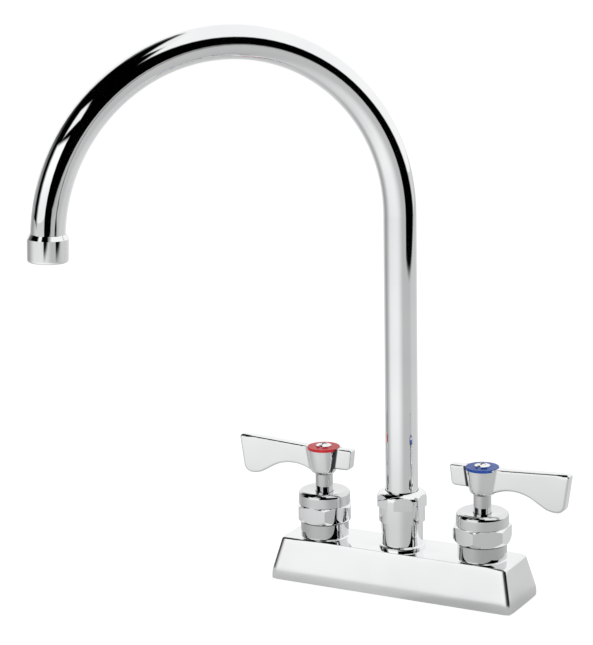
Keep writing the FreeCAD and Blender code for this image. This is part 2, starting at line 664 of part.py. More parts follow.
def make_spout():
    """Gooseneck tube on a brass tail that turns in the column, held down by the spout nut."""
    turn = "180 + spout_turn"
    upright = f"placement(vector(0; 0; 0); rotation(vector(0; 0; 1); {turn}))"
    top_seal = f"({COLUMN_SPIGOT_TOP} - tail_seal_depth)"
    seal_levels = [f"({top_seal} - tail_seal_pitch)", top_seal]
    groove_floor = "(tail_radius - 2 * cord_radius)"
    grooves = groove_corners("tail_radius", seal_levels, groove_floor)
    spigot_radius = f"({TUBE_BORE} - bush_clearance / 2)"
    tail = new_piece("spout_tail", upright)
    turned(tail, [
        ("tail_bore_radius", f"{COLUMN_SPIGOT_TOP} - tail_length"),
        ("tail_radius", f"{COLUMN_SPIGOT_TOP} - tail_length"), *grooves, ("tail_radius", COLUMN_SPIGOT_TOP),
        ("tail_flange_radius", COLUMN_SPIGOT_TOP), ("tail_flange_radius", TUBE_FOOT),
        (spigot_radius, TUBE_FOOT), (spigot_radius, f"{TUBE_FOOT} + tail_spigot"),
        ("tail_bore_radius", f"{TUBE_FOOT} + tail_spigot")])
    o_rings("spout_o_rings", upright, f"{groove_floor} + cord_radius", seal_levels)

    tube = new_piece("spout_tube", upright)
    for kind, radius in (("AdditivePipe", "tube_radius"), ("SubtractivePipe", TUBE_BORE)):
        path = new_sketch(tube)
        riser = path.addGeometry(Part.LineSegment(
            FreeCAD.Vector(0, number(TUBE_FOOT), 0), FreeCAD.Vector(0, number("bend_height"), 0)), False)
        centre = FreeCAD.Vector(number("bend_radius"), number("bend_height"), 0)
        bend = path.addGeometry(Part.ArcOfCircle(
            Part.Circle(centre, FreeCAD.Vector(0, 0, 1), number("bend_radius")),
            math.pi - math.radians(number("bend_sweep")), math.pi), False)
        path.addConstraint(Sketcher.Constraint("Coincident", riser, 2, bend, 2))
        path.addConstraint(Sketcher.Constraint("PointOnObject", riser, 1, -2))
        path.addConstraint(Sketcher.Constraint("Vertical", riser))
        fix(path, "DistanceY", -1, 1, riser, 1, formula=TUBE_FOOT)
        fix(path, "DistanceY", -1, 1, bend, 3, formula="bend_height")
        fix(path, "DistanceX", -1, 1, bend, 3, formula="bend_radius")
        fix(path, "DistanceY", -1, 1, riser, 2, formula="bend_height")
        fix(path, "DistanceX", -1, 1, bend, 1, formula="bend_radius * (1 - cos(bend_sweep))")
        section = new_sketch(tube, "XY_Plane", level=TUBE_FOOT)
        circle(section, "0", "0", radius)
        step, before = feature(tube, kind, section)
        step.Spine = (path, ["Edge1", "Edge2"])
        finish_step(step, before, adds=kind == "AdditivePipe")

    bush = new_piece("spout_bush")
    turned(bush, [
        (BUSH_BORE, TUBE_FOOT), ("column_spigot_radius", TUBE_FOOT),
        ("column_spigot_radius", BUSH_TOP), (BUSH_BORE, BUSH_TOP)])

    nut = new_piece("spout_nut", "placement(vector(0; 0; 0); rotation(vector(0; 0; 1); spout_nut_turn))")
    skirt_top = f"({COLUMN_TOP} + spout_nut_skirt)"
    hole = "(tube_radius + spout_nut_hole_gap)"
    turned(nut, [
        (SPOUT_NUT_BORE, COLUMN_TOP), ("spout_nut_radius", COLUMN_TOP), ("spout_nut_radius", skirt_top),
        ("spout_nut_corner_radius", skirt_top), ("spout_nut_corner_radius", SPOUT_NUT_TOP),
        (hole, SPOUT_NUT_TOP), (hole, BUSH_TOP), (SPOUT_NUT_BORE, BUSH_TOP)])
    rounded(nut, "spout_nut_round", rim("spout_nut_corner_radius", SPOUT_NUT_TOP))
    flats = new_sketch(nut, "XY_Plane", level=skirt_top)
    regular_hexagon(flats, "spout_nut_half_width")
    circle(flats, "0", "0", f"spout_nut_corner_radius + 2 * {OVERRUN}")
    raised(nut, flats, f"{SPOUT_NUT_TOP} - {skirt_top}", cut=True)


def make_outlet():
    """Collar at the end of the bend with its washer, screen and flow straightener."""
    reach, drop = "bend_radius * (1 - cos(bend_sweep))", "bend_height + bend_radius * sin(bend_sweep)"
    end = ("placement(vector(0; 0; 0); rotation(vector(0; 0; 1); 180 + spout_turn))"
           f" * placement(vector({reach}; 0; {drop}); rotation(vector(0; 1; 0); bend_sweep))")
    collar_bore = "(tube_radius + thread_gap)"
    ferrule = new_piece("outlet_ferrule", end)
    turned(ferrule, [
        (collar_bore, "-ferrule_shoulder"), (f"{collar_bore} + ferrule_lip", "-ferrule_shoulder"),
        ("ferrule_radius", "0"), ("ferrule_radius", "ferrule_length"),
        ("ferrule_thread_radius", "ferrule_length"), ("ferrule_thread_radius", "ferrule_ledge"),
        (TUBE_BORE, "ferrule_ledge"), (TUBE_BORE, "0"), (collar_bore, "0")])
    rounded(ferrule, "ferrule_round", rim("ferrule_radius", "ferrule_length"))

    washer_top = "(ferrule_ledge + outlet_washer_thick)"
    washer = new_piece("outlet_washer", end)
    turned(washer, [
        ("outlet_washer_bore", "ferrule_ledge"), (AERATOR_RADIUS, "ferrule_ledge"),
        (AERATOR_RADIUS, washer_top), ("outlet_washer_bore", washer_top)])

    cup = f"({AERATOR_RADIUS} - aerator_wall)"
    floor = f"({washer_top} + aerator_length - aerator_floor)"
    aerator = new_piece("aerator_body", end)
    turned(aerator, [
        (cup, washer_top), (AERATOR_RADIUS, washer_top), (AERATOR_RADIUS, f"{washer_top} + aerator_length"),
        ("0", f"{washer_top} + aerator_length"), ("0", floor), (cup, floor)])
    for circle_radius, count in (("jet_circle", 10), ("jet_circle / 2", 5)):
        jets = new_sketch(aerator, "XY_Plane", level=floor)
        for jet in range(count):
            angle = 360 / count * jet
            circle(jets, f"{circle_radius} * cos({angle})", f"{circle_radius} * sin({angle})", "jet_radius")
        raised(aerator, jets, "aerator_floor", cut=True)

    screen = new_piece("outlet_screen", end)
    turned(screen, [
        ("0", f"{floor} - screen_thick"), (f"{cup} - thread_gap", f"{floor} - screen_thick"),
        (f"{cup} - thread_gap", floor), ("0", floor)])
    mesh = new_sketch(screen, "XY_Plane", level=f"{floor} - screen_thick")
    for ring, count in ((1, 6), (2, 12)):
        for hole in range(count):
            angle = 360 / count * hole
            reach = f"{ring} * jet_circle / 2"
            circle(mesh, f"{reach} * cos({angle})", f"{reach} * sin({angle})", "jet_radius / 2")
    raised(screen, mesh, "screen_thick", cut=True)


make_base()
for name, side in (("hot", -1), ("cold", 1)):
    turn = "180 + lever_turn" if side < 0 else "-lever_turn"
    make_discs(name, side, turn)
    make_cartridge(name, side)
    make_stem(name, side, turn)
    make_bonnet(name, side)
    make_lever(name, side, turn)
    make_trim(name, side, turn)
make_spout()
make_outlet()
doc.recompute()

for item in doc.Objects:
    if "Invalid" in item.State or "Error" in item.State:
        raise RuntimeError(f"{item.Label} failed: {item.State}")
for piece in pieces:
    if piece.Shape.isNull() or not piece.Shape.isValid() or not piece.Shape.Solids:
        raise RuntimeError(f"{piece.Label} has no valid solid")

os.makedirs("parts", exist_ok=True)
for piece in pieces:
    piece.Shape.exportStep(f"parts/{piece.Label}.step")
print(len(pieces), "pieces written")
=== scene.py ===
import math

import bmesh
import bpy
import numpy as np
from mathutils import Matrix, Vector


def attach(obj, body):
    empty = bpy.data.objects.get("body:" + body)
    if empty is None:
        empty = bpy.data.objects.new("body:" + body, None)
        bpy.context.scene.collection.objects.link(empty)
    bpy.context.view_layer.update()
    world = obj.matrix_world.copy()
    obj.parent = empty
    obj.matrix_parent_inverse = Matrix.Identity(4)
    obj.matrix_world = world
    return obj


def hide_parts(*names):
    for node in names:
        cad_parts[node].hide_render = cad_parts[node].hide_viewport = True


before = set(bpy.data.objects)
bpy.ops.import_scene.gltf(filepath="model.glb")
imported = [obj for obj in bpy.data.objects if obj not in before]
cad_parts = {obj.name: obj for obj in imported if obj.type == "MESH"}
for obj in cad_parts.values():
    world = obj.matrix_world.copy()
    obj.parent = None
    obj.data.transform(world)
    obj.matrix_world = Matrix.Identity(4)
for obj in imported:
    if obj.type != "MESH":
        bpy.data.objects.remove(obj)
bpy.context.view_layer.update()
scene = bpy.context.scene

IMAGE_WIDTH, IMAGE_HEIGHT = 593, 645
VALVE_SPACING = 0.1016
AXES = {"hot": -VALVE_SPACING / 2, "spout": 0.0, "cold": VALVE_SPACING / 2}


# node helpers

class Tree:
    """Builds shader nodes from plain expressions. Every value is a socket or a number."""

    def __init__(self, tree):
        self.tree = tree
        tree.nodes.clear()

    def node(self, kind, **settings):
        made = self.tree.nodes.new(kind)
        for name, value in settings.items():
            setattr(made, name, value)
        return made

    def put(self, socket, value):
        if isinstance(value, bpy.types.NodeSocket):
            self.tree.links.new(value, socket)
        else:
            socket.default_value = value

    def math(self, operation, *values):
        made = self.node("ShaderNodeMath", operation=operation)
        for socket, value in zip(made.inputs, values):
            self.put(socket, value)
        return made.outputs[0]

    def vector(self, operation, *values):
        made = self.node("ShaderNodeVectorMath", operation=operation)
        for socket, value in zip(made.inputs, values):
            self.put(socket, value)
        return made.outputs["Value" if operation in ("DOT_PRODUCT", "LENGTH") else "Vector"]

    def split(self, vector):
        made = self.node("ShaderNodeSeparateXYZ")
        self.put(made.inputs[0], vector)
        return [made.outputs[axis] for axis in "XYZ"]

    def join(self, x, y):
        made = self.node("ShaderNodeCombineXYZ")
        self.put(made.inputs["X"], x)
        self.put(made.inputs["Y"], y)
        return made.outputs[0]

    def smooth(self, value, low, high, start=0.0, end=1.0):
        made = self.node("ShaderNodeMapRange", interpolation_type="SMOOTHSTEP")
        for socket, given in zip(made.inputs, (value, low, high, start, end)):
            self.put(socket, given)
        return made.outputs[0]

    def mix(self, share, first, second):
        made = self.node("ShaderNodeMix", data_type="FLOAT")
        for socket, value in zip(made.inputs, (share, None, first, second)):
            if value is not None:
                self.put(socket, value)
        return made.outputs[0]

    def largest(self, values):
        found = values[0]
        for value in values[1:]:
            found = self.math("MAXIMUM", found, value)
        return found

    def smallest(self, values):
        found = values[0]
        for value in values[1:]:
            found = self.math("MINIMUM", found, value)
        return found

    def place(self):
        """Where the shaded point is on its object, in metres."""
        return self.node("ShaderNodeTexCoord").outputs["Object"]


def compass(azimuth, elevation):
    """The direction at that bearing, 0 towards -Y and 90 towards +X, in degrees."""
    a, e = math.radians(azimuth), math.radians(elevation)
    return Vector((math.sin(a) * math.cos(e), -math.cos(a) * math.cos(e), math.sin(e)))


# mesh helpers

def mesh_object(name, corners, faces):
    mesh = bpy.data.meshes.new(name)
    mesh.from_pydata(corners, [], faces)
    made = bpy.data.objects.new(name, mesh)
    scene.collection.objects.link(made)
    return made


def stacked(name, rings):
    """A closed solid through rings of as many corners each, flat at both ends."""
    count = len(rings[0])
    corners = [corner for ring in rings for corner in ring]
    faces = [list(range(count))[::-1], list(range(len(corners) - count, len(corners)))]
    for level in range(len(rings) - 1):
        low, high = level * count, (level + 1) * count
        faces += [(low + i, low + (i + 1) % count, high + (i + 1) % count, high + i) for i in range(count)]
    return mesh_object(name, corners, faces)


def prism(name, outline, bottom, top):
    """A closed upright prism, in millimetres."""
    return stacked(name, [[(x, y, z) for x, y in outline] for z in (bottom, top)])


def round_outline(radius, count=96, centre=0.0):
    steps = [2 * math.pi * i / count for i in range(count)]
    return [(centre + radius * math.cos(a), radius * math.sin(a)) for a in steps]


def turned(name, centre, outline, count=144):
    """A closed solid turned about an upright axis from an outline of (radius, height)."""
    circle = round_outline(1.0, count)
    return stacked(name, [[(centre + r * x, r * y, z) for x, y in circle] for r, z in outline])


def arc_points(centre, radius, start, end, steps=8):
    """Points on an arc, from one angle to another in degrees."""
    angles = [math.radians(start + (end - start) * i / steps) for i in range(steps + 1)]
    return [(centre[0] + radius * math.cos(a), centre[1] + radius * math.sin(a)) for a in angles]


def combine(base, pieces, operation):
    for piece in pieces:
        step = base.modifiers.new(piece.name, "BOOLEAN")
        step.operation, step.solver, step.object = operation, "EXACT", piece


def finished_mesh(blank, tools, sharp_angle):
    """The blank as its tools have cut and joined it, in metres. The blank and the tools are deleted."""
    graph = bpy.context.evaluated_depsgraph_get()
    mesh = bpy.data.meshes.new_from_object(blank.evaluated_get(graph))
    for scratch in [blank, *tools]:
        bpy.data.objects.remove(scratch)
    keep_largest(mesh)
    mesh.transform(Matrix.Scale(0.001, 4))
    mesh.shade_smooth()
    mesh.set_sharp_from_angle(angle=math.radians(sharp_angle))
    return mesh


def keep_largest(mesh):
    """Deletes what hangs apart from the main surface, such as flakes that a cut leaves along a thin rim."""
    shape = bmesh.new()
    shape.from_mesh(mesh)
    left, islands = set(shape.verts), []
    while left:
        front, island = [left.pop()], []
        while front:
            corner = front.pop()
            island.append(corner)
            near = {edge.other_vert(corner) for edge in corner.link_edges} & left
            left -= near
            front += near
        islands.append(island)
    islands.sort(key=len)
    flakes = [corner for island in islands[:-1] for corner in island]
    if flakes:
        bmesh.ops.delete(shape, geom=flakes, context="VERTS")
        shape.to_mesh(mesh)
    shape.free()


def piece_of(name, mesh, material):
    """An object in the scene with this mesh, in this material alone."""
    mesh.materials.clear()
    mesh.materials.append(material)
    piece = bpy.data.objects.new(name, mesh)
    scene.collection.objects.link(piece)
    return piece


# the studio that the chrome mirrors

def edge(tree, direction, start, end, soft):
    """1 on one side of the great circle from start to end and 0 on the other.

    With bearings drawn to the right and elevations up, it is 1 on the left of the way from start to end."""
    normal = compass(*start).cross(compass(*end)).normalized()
    width = math.sin(math.radians(soft))
    return tree.smooth(tree.vector("DOT_PRODUCT", direction, tuple(normal)), -width, width)


def card(tree, direction, edges):
    return tree.smallest([edge(tree, direction, *e) for e in edges])


# Each edge is a start and an end (bearing, elevation) and how soft it is, in degrees. What lies to the
# left of the way from start to end is on the card.
RIGHT_WALL = [
    ((80, 33), (103, 12), 3.5),
    ((103, 12), (128, -3), 3.5),
]
CEILING = [
    ((0, 74.5), (80, 33), 2.5),
    *RIGHT_WALL,
    ((-142, 56.5), (-20, 81), 2.5),
]
LOW_BACKDROP = [
    ((-112, 41.5), (-141, 41.5), 3),
    ((-109, -10), (-109, 40), 9),
    *RIGHT_WALL,
]
HIGH_BACKDROP = [
    ((-141, 30), (-141, 60), 2.5),
    *RIGHT_WALL,
]
TALL_SOFTBOX = [
    ((4, -10), (4, 28), 2.5),
    ((2, 26.5), (-50, 29), 1.5),
    ((-49, 30), (-49, -10), 9),
]
SMALL_SOFTBOX = [
    ((8, 33), (6, 37), 2),
    ((6, 37), (-10, 46.5), 2),
    ((-10, 46.5), (-31, 45.5), 2),
    ((-31, 46), (-31, 33), 5),
    ((-31, 33.5), (8, 32.5), 1.2),
]
GREY_SIDE = [
    ((-80, -10), (-80, 28), 7),
    ((-80, 26), (-130, 38), 7),
]
GREY_PATCH = [
    ((-106, 38), (-112, 54), 5),
    ((-112, 54), (-141, 54), 5),
    ((-142, 54), (-142, 36), 3),
]
# How bright each card is: one number, or the two heights (sines of the elevation) between which it
# changes, and the brightness at the lower and the upper one.
STUDIO = [
    (CEILING, 0.90),
    (LOW_BACKDROP, 0.955),
    (HIGH_BACKDROP, 0.955),
    (TALL_SOFTBOX, (0.0, 0.33, 0.90, 1.05)),
    (SMALL_SOFTBOX, 0.95),
    (GREY_SIDE, (0.0, 0.5, 0.36, 0.05)),
    (GREY_PATCH, 0.17),
]


def studio(tree, direction):
    """How bright the studio is in that direction: white cards and walls with dark between them."""
    height = tree.split(direction)[2]
    levels = []
    for edges, brightness in STUDIO:
        if isinstance(brightness, tuple):
            brightness = tree.smooth(height, *brightness)
        levels.append(tree.math("MULTIPLY", card(tree, direction, edges), brightness))
    return tree.largest(levels)


# How bright the table is far from the faucet and close to it. A change is a bearing in degrees, the
# cosine of the angle to it where the change begins, and how much is added at the bearing itself.
FAR_TONE, FAR_CHANGES = 0.53, ((-22, 0.35, 0.44), (-78, 0.85, -0.13), (-150, 0.4, 0.2), (138, 0.6, 0.14))
CLOSE_TONE, CLOSE_CHANGES = 0.60, ((60, 0.5, -0.09), (138, 0.9, 0.1), (-20, 0.6, 0.06))
CLOSE_TO_FAR = (0.05, 0.4)
# A further change behind the faucet, which also grows with the distance in metres.
BEHIND_BEARING, BEHIND_COSINE, BEHIND_DISTANCES, BEHIND_GAIN = -150, 0.8, (0.4, 0.6), 0.2
# Where the table ends, in metres: at the front, along a line that slants by this much for each metre of
# x, and on the right. Towards one bearing it goes on past the front, to a greater distance.
FRONT_SLANT, FRONT_END, RIGHT_END = -0.4, (-1.64, -1.5), (0.98, 0.88)
TONGUE_BEARING, TONGUE_COSINES, TONGUE_DISTANCES = 54, (0.968, 0.985), (2.8, 2.0)
MIRROR_HEIGHT = 0.15


def table_tone(tree, position):
    """How bright the floor looks in the chrome at a place on it: a lit table that ends in the dark."""
    x, y, _ = tree.split(position)
    flat = tree.join(x, y)
    bearing = tree.vector("NORMALIZE", flat)
    distance = tree.vector("LENGTH", flat)

    def towards(azimuth, start, end=1.0):
        cosine = tree.vector("DOT_PRODUCT", bearing, tuple(compass(azimuth, 0)))
        return tree.smooth(cosine, start, end)

    def changed(tone, changes):
        for azimuth, start, gain in changes:
            tone = tree.math("MULTIPLY_ADD", towards(azimuth, start), gain, tone)
        return tone

    behind = tree.math(
        "MULTIPLY", towards(BEHIND_BEARING, BEHIND_COSINE), tree.smooth(distance, *BEHIND_DISTANCES)
    )
    far = tree.math("MULTIPLY_ADD", behind, BEHIND_GAIN, changed(FAR_TONE, FAR_CHANGES))
    close = changed(CLOSE_TONE, CLOSE_CHANGES)
    tone = tree.mix(tree.smooth(distance, *CLOSE_TO_FAR), close, far)
    front = tree.math("MULTIPLY_ADD", x, FRONT_SLANT, y)
    main = tree.smallest([tree.smooth(front, *FRONT_END), tree.smooth(x, *RIGHT_END)])
    tongue = tree.smallest([
        towards(TONGUE_BEARING, *TONGUE_COSINES), tree.smooth(distance, *TONGUE_DISTANCES),
    ])
    beyond = tree.vector("NORMALIZE", tree.vector("ADD", flat, (0.0, 0.0, -MIRROR_HEIGHT)))
    return tree.mix(tree.largest([main, tongue]), studio(tree, beyond), tone)


WHITE, FILL_LIGHT = 1.0, 0.65


def make_world():
    """White to the camera and through glass, the studio in a mirror, and a plain fill light otherwise."""
    world = bpy.data.worlds.new("studio_world")
    world.use_nodes = True
    scene.world = world
    tree = Tree(world.node_tree)
    direction = tree.node("ShaderNodeTexCoord").outputs["Generated"]
    ray = tree.node("ShaderNodeLightPath")
    plain = tree.mix(ray.outputs["Is Camera Ray"], FILL_LIGHT, WHITE)
    plain = tree.mix(ray.outputs["Is Transmission Ray"], plain, WHITE)
    level = tree.mix(ray.outputs["Is Glossy Ray"], plain, studio(tree, direction))
    background = tree.node("ShaderNodeBackground")
    tree.put(background.inputs["Color"], (1.0, 1.0, 1.0, 1.0))
    tree.put(background.inputs["Strength"], level)
    tree.put(tree.node("ShaderNodeOutputWorld").inputs["Surface"], background.outputs[0])


FLOOR_HALF, FLOOR_SUNK = 12.0, 0.0002
# How much of the floor's brightness is lit and how much is its own, seen directly and in a mirror.
SEEN_LIT, SEEN_OWN = 0.35, 0.78
MIRRORED_LIT, MIRRORED_OWN = 0.8, 0.2


def make_floor():
    half = FLOOR_HALF
    floor = mesh_object(
        "floor", [(-half, -half, 0), (half, -half, 0), (half, half, 0), (-half, half, 0)], [(0, 1, 2, 3)]
    )
    floor.location.z = -FLOOR_SUNK
    material = bpy.data.materials.new("pale_floor")
    material.use_nodes = True
    tree = Tree(material.node_tree)
    mirrored = tree.node("ShaderNodeLightPath").outputs["Is Glossy Ray"]
    tone = tree.mix(mirrored, WHITE, table_tone(tree, tree.place()))
    lit = tree.math("MULTIPLY", tone, tree.mix(mirrored, SEEN_LIT, MIRRORED_LIT))
    own = tree.math("MULTIPLY", tone, tree.mix(mirrored, SEEN_OWN, MIRRORED_OWN))
    colour = tree.node("ShaderNodeCombineColor")
    for socket in colour.inputs[:3]:
        tree.put(socket, lit)
    diffuse = tree.node("ShaderNodeBsdfDiffuse")
    tree.put(diffuse.inputs["Color"], colour.outputs[0])
    glow = tree.node("ShaderNodeEmission")
    tree.put(glow.inputs["Strength"], own)
    both = tree.node("ShaderNodeAddShader")
    tree.put(both.inputs[0], diffuse.outputs[0])
    tree.put(both.inputs[1], glow.outputs[0])
    tree.put(tree.node("ShaderNodeOutputMaterial").inputs["Surface"], both.outputs[0])
    floor.data.materials.append(material)


def make_lamp():
    light = bpy.data.lights.new("overhead", "AREA")
    light.shape = "DISK"
    light.size = 1.2
    light.energy = 12.0
    lamp = bpy.data.objects.new("overhead", light)
    scene.collection.objects.link(lamp)
    lamp.location = (0.5, -0.4, 1.8)
    lamp.rotation_euler = (-lamp.location).to_track_quat("-Z", "Y").to_euler()
    lamp.visible_glossy = False


# materials

def lathe_lines(tree, centre, fineness):
    """A value that changes only along the radius and the height of a turned piece."""
    x, y, z = tree.split(tree.vector("SUBTRACT", tree.place(), (centre, 0.0, 0.0)))
    squares = [tree.math("MULTIPLY", value, value) for value in (x, y)]
    radius = tree.math("SQRT", tree.math("ADD", *squares))
    noise = tree.node("ShaderNodeTexNoise", noise_dimensions="2D")
    tree.put(noise.inputs["Vector"], tree.join(radius, z))
    tree.put(noise.inputs["Scale"], fineness)
    tree.put(noise.inputs["Detail"], 3.0)
    return noise.outputs["Fac"]


def cloud(tree, scale, detail=2.0):
    noise = tree.node("ShaderNodeTexNoise")
    tree.put(noise.inputs["Vector"], tree.place())
    tree.put(noise.inputs["Scale"], scale)
    tree.put(noise.inputs["Detail"], detail)
    return noise.outputs["Fac"]


def two_tones(tree, share, first, second):
    made = tree.node("ShaderNodeMix", data_type="RGBA")
    tree.put(made.inputs["Factor"], share)
    tree.put(made.inputs["A"], (*first, 1.0))
    tree.put(made.inputs["B"], (*second, 1.0))
    return made.outputs["Result"]


def finished(name, metallic, roughness, bump, bump_depth, tint, **direct):
    """A material whose roughness, bump and colour vary over the surface.

    roughness, bump and tint are functions that build nodes. direct goes on the shader's own sockets."""
    material = bpy.data.materials.new(name)
    material.use_nodes = True
    tree = Tree(material.node_tree)
    shader = tree.node("ShaderNodeBsdfPrincipled")
    relief = tree.node("ShaderNodeBump")
    tree.put(relief.inputs["Height"], bump(tree))
    tree.put(relief.inputs["Distance"], bump_depth)
    tree.put(shader.inputs["Normal"], relief.outputs["Normal"])
    tree.put(shader.inputs["Base Color"], tint(tree))
    tree.put(shader.inputs["Metallic"], metallic)
    tree.put(shader.inputs["Roughness"], roughness(tree))
    for socket, value in direct.items():
        tree.put(shader.inputs[socket.replace("_", " ")], value)
    tree.put(tree.node("ShaderNodeOutputMaterial").inputs["Surface"], shader.outputs[0])
    return material


CHROME = (0.95, 0.955, 0.96)
DULL_CHROME = (0.90, 0.91, 0.92)
# The dark colour of the painted shade over the bosses, in the seam under each nut and in the lever's
# corners. A little of it also dulls the chrome in random patches.
PAINTED_SHADE_AND_DULL_CHROME = (0.03, 0.032, 0.035)
# The share of the dark chrome colour above that makes CHROME as dull as DULL_CHROME.
DULL_SHARE = 0.055
CAST_WAVES, CAST_DEPTH = 140.0, 0.000004
TUBE_WAVES, TUBE_DEPTH = 90.0, 0.000002
TURNED_LINES, TURNED_DEPTH = 2500.0, 0.000003
# Heights and distances in metres between which the casting's roughness changes and its painted shade sets
# in, and what each changes to: a roughness, or the share of dark colour painted as shade over the bosses
# and in the seam under each nut.
BELT_HEIGHTS, BELT_ROUGHNESS, TOP_ROUGHNESS = (0.0244, 0.0250), 0.17, 0.04
BOSS_SHADE_HEIGHTS, SEAM_SHADE_HEIGHTS, BOSS_REACH = (0.0252, 0.0262), (0.0334, 0.0344), (0.025, 0.030)
BOSS_SHADE_SHARE, SEAM_SHADE_SHARE = 0.30, 0.93
# The line of a lever's hub, as a distance from its axis for each metre of height, half the thickness of its
# stub, and the painted shade in the corner between them.
HUB_SLOPE, HUB_START, STUB_HALF = 0.156, -0.0027, 0.0037
CORNER_REACH, CORNER_SHADE_SHARE = (0.0017, 0.0010), 0.96


def polish(tree, least=0.015, most=0.05):
    return tree.smooth(cloud(tree, 60.0, 4.0), 0.3, 0.8, least, most)


def dull_patches(tree, share=1.0):
    return tree.smooth(cloud(tree, 25.0), 0.35, 0.75, 0.0, share)


def base_polish(tree):
    """The casting's sloping sides are finished on a belt, so they mirror less sharply than its top."""
    height = tree.split(tree.place())[2]
    belted = tree.smooth(height, *BELT_HEIGHTS, BELT_ROUGHNESS, TOP_ROUGHNESS)
    return tree.math("ADD", belted, polish(tree, -0.02, 0.03))


def base_tint_and_shade(tree):
    """Painted shade darkens the valve bosses, most of all in the seam under each nut, over chrome dulled in
    random patches.
    """
    x, _, height = tree.split(tree.place())
    outward = tree.math("ABSOLUTE", x)
    shares = [dull_patches(tree, DULL_SHARE)]
    # painted shade over each boss and, darker, in the seam under its nut
    for heights, share in ((BOSS_SHADE_HEIGHTS, BOSS_SHADE_SHARE), (SEAM_SHADE_HEIGHTS, SEAM_SHADE_SHARE)):
        over_boss = tree.smooth(outward, *BOSS_REACH, 0.0, share)
        shares.append(tree.math("MULTIPLY", tree.smooth(height, *heights), over_boss))
    return two_tones(tree, tree.largest(shares), CHROME, PAINTED_SHADE_AND_DULL_CHROME)


def corner_shade_tint(tree):
    """Painted shade in the corners between a lever's hub and its stub, over chrome dulled in random
    patches.
    """
    x, y, height = tree.split(tree.place())
    reach = tree.math("SUBTRACT", AXES["cold"], tree.math("ABSOLUTE", x))
    hub = tree.math("MULTIPLY_ADD", height, HUB_SLOPE, HUB_START)
    along = tree.math("SUBTRACT", reach, hub)
    across = tree.math("SUBTRACT", tree.math("ABSOLUTE", y), STUB_HALF)
    away = tree.vector("LENGTH", tree.join(along, across))
    # painted shade, darkest right in the corner
    corner = tree.smooth(away, *CORNER_REACH, 0.0, CORNER_SHADE_SHARE)
    return two_tones(tree, tree.largest([corner, dull_patches(tree, DULL_SHARE)]), CHROME, PAINTED_SHADE_AND_DULL_CHROME)


def cast_chrome(name, roughness, tint):
    return finished(name, 1.0, roughness, lambda t: cloud(t, CAST_WAVES), CAST_DEPTH, tint)


def chrome(name, bump, bump_depth, painted_light_level=1.0):
    # a level below 1 darkens the chrome's colour: painted shade
    bright = tuple(painted_light_level * c for c in CHROME)
    dull = tuple(painted_light_level * c for c in DULL_CHROME)
    return finished(
        name, 1.0, polish, bump, bump_depth, lambda t: two_tones(t, dull_patches(t), bright, dull)
    )


def turned_set(name, painted_light_level):
    """A turned chrome finish for each axis. A level below 1 paints the piece's chrome darker, as painted
    shade.
    """
    return {
        side: chrome(
            f"{name}_{side}", lambda t, c=centre: lathe_lines(t, c, TURNED_LINES), TURNED_DEPTH, painted_light_level
        )
        for side, centre in AXES.items()
    }


lever_chrome = cast_chrome("lever_chrome", polish, corner_shade_tint)
base_chrome = cast_chrome("base_chrome", base_polish, base_tint_and_shade)
tube_chrome = chrome("tube_chrome", lambda t: cloud(t, TUBE_WAVES, 1.0), TUBE_DEPTH)
turned_chrome = turned_set("turned_chrome", 1.0)
# The bonnets and the stems get darker copies of the turned chrome: painted shade.
shaded_bonnet_chrome = turned_set("shaded_bonnet_chrome", 0.85)
shaded_stem_chrome = turned_set("shaded_stem_chrome", 0.72)

BRASS, DARK_BRASS = (0.80, 0.60, 0.28), (0.62, 0.43, 0.17)
MACHINED_LINES, MACHINED_DEPTH = 1800.0, 0.00002


def machined_brass(name, centre):
    return finished(
        name, 1.0,
        roughness=lambda t: t.smooth(lathe_lines(t, centre, MACHINED_LINES), 0.3, 0.7, 0.18, 0.34),
        bump=lambda t: lathe_lines(t, centre, MACHINED_LINES), bump_depth=MACHINED_DEPTH,
        tint=lambda t: two_tones(t, cloud(t, 200.0, 3.0), BRASS, DARK_BRASS),
    )


brass = {side: machined_brass(f"machined_brass_{side}", centre) for side, centre in AXES.items()}


def speckled(name, metallic, rough, bump, tones):
    """A material whose roughness, bump and colour each follow a noise of their own.

    rough is a scale and the least and most roughness, bump is a scale, a detail and a depth, and tones
    is a scale, a detail and two colours."""
    rough_scale, least, most = rough
    bump_scale, bump_detail, bump_depth = bump
    tone_scale, tone_detail, first, second = tones
    return finished(
        name, metallic,
        roughness=lambda t: t.smooth(cloud(t, rough_scale), 0.3, 0.7, least, most),
        bump=lambda t: cloud(t, bump_scale, bump_detail), bump_depth=bump_depth,
        tint=lambda t: two_tones(t, cloud(t, tone_scale, tone_detail), first, second),
    )


steel = speckled(
    "steel_mesh", 1.0, rough=(900.0, 0.2, 0.4), bump=(2500.0, 2.0, 0.00003),
    tones=(1500.0, 2.0, (0.62, 0.62, 0.61), (0.42, 0.42, 0.42)),
)
ceramic = speckled(
    "lapped_ceramic", 0.0, rough=(700.0, 0.12, 0.25), bump=(3000.0, 2.0, 0.000004),
    tones=(900.0, 4.0, (0.92, 0.90, 0.86), (0.84, 0.81, 0.76)),
)
rubber = speckled(
    "seal_rubber", 0.0, rough=(600.0, 0.45, 0.65), bump=(2500.0, 3.0, 0.00002),
    tones=(500.0, 2.0, (0.018, 0.018, 0.019), (0.04, 0.04, 0.041)),
)
white_plastic = speckled(
    "white_plastic", 0.0, rough=(500.0, 0.28, 0.42), bump=(1800.0, 2.0, 0.00001),
    tones=(300.0, 2.0, (0.88, 0.88, 0.87), (0.80, 0.80, 0.79)),
)


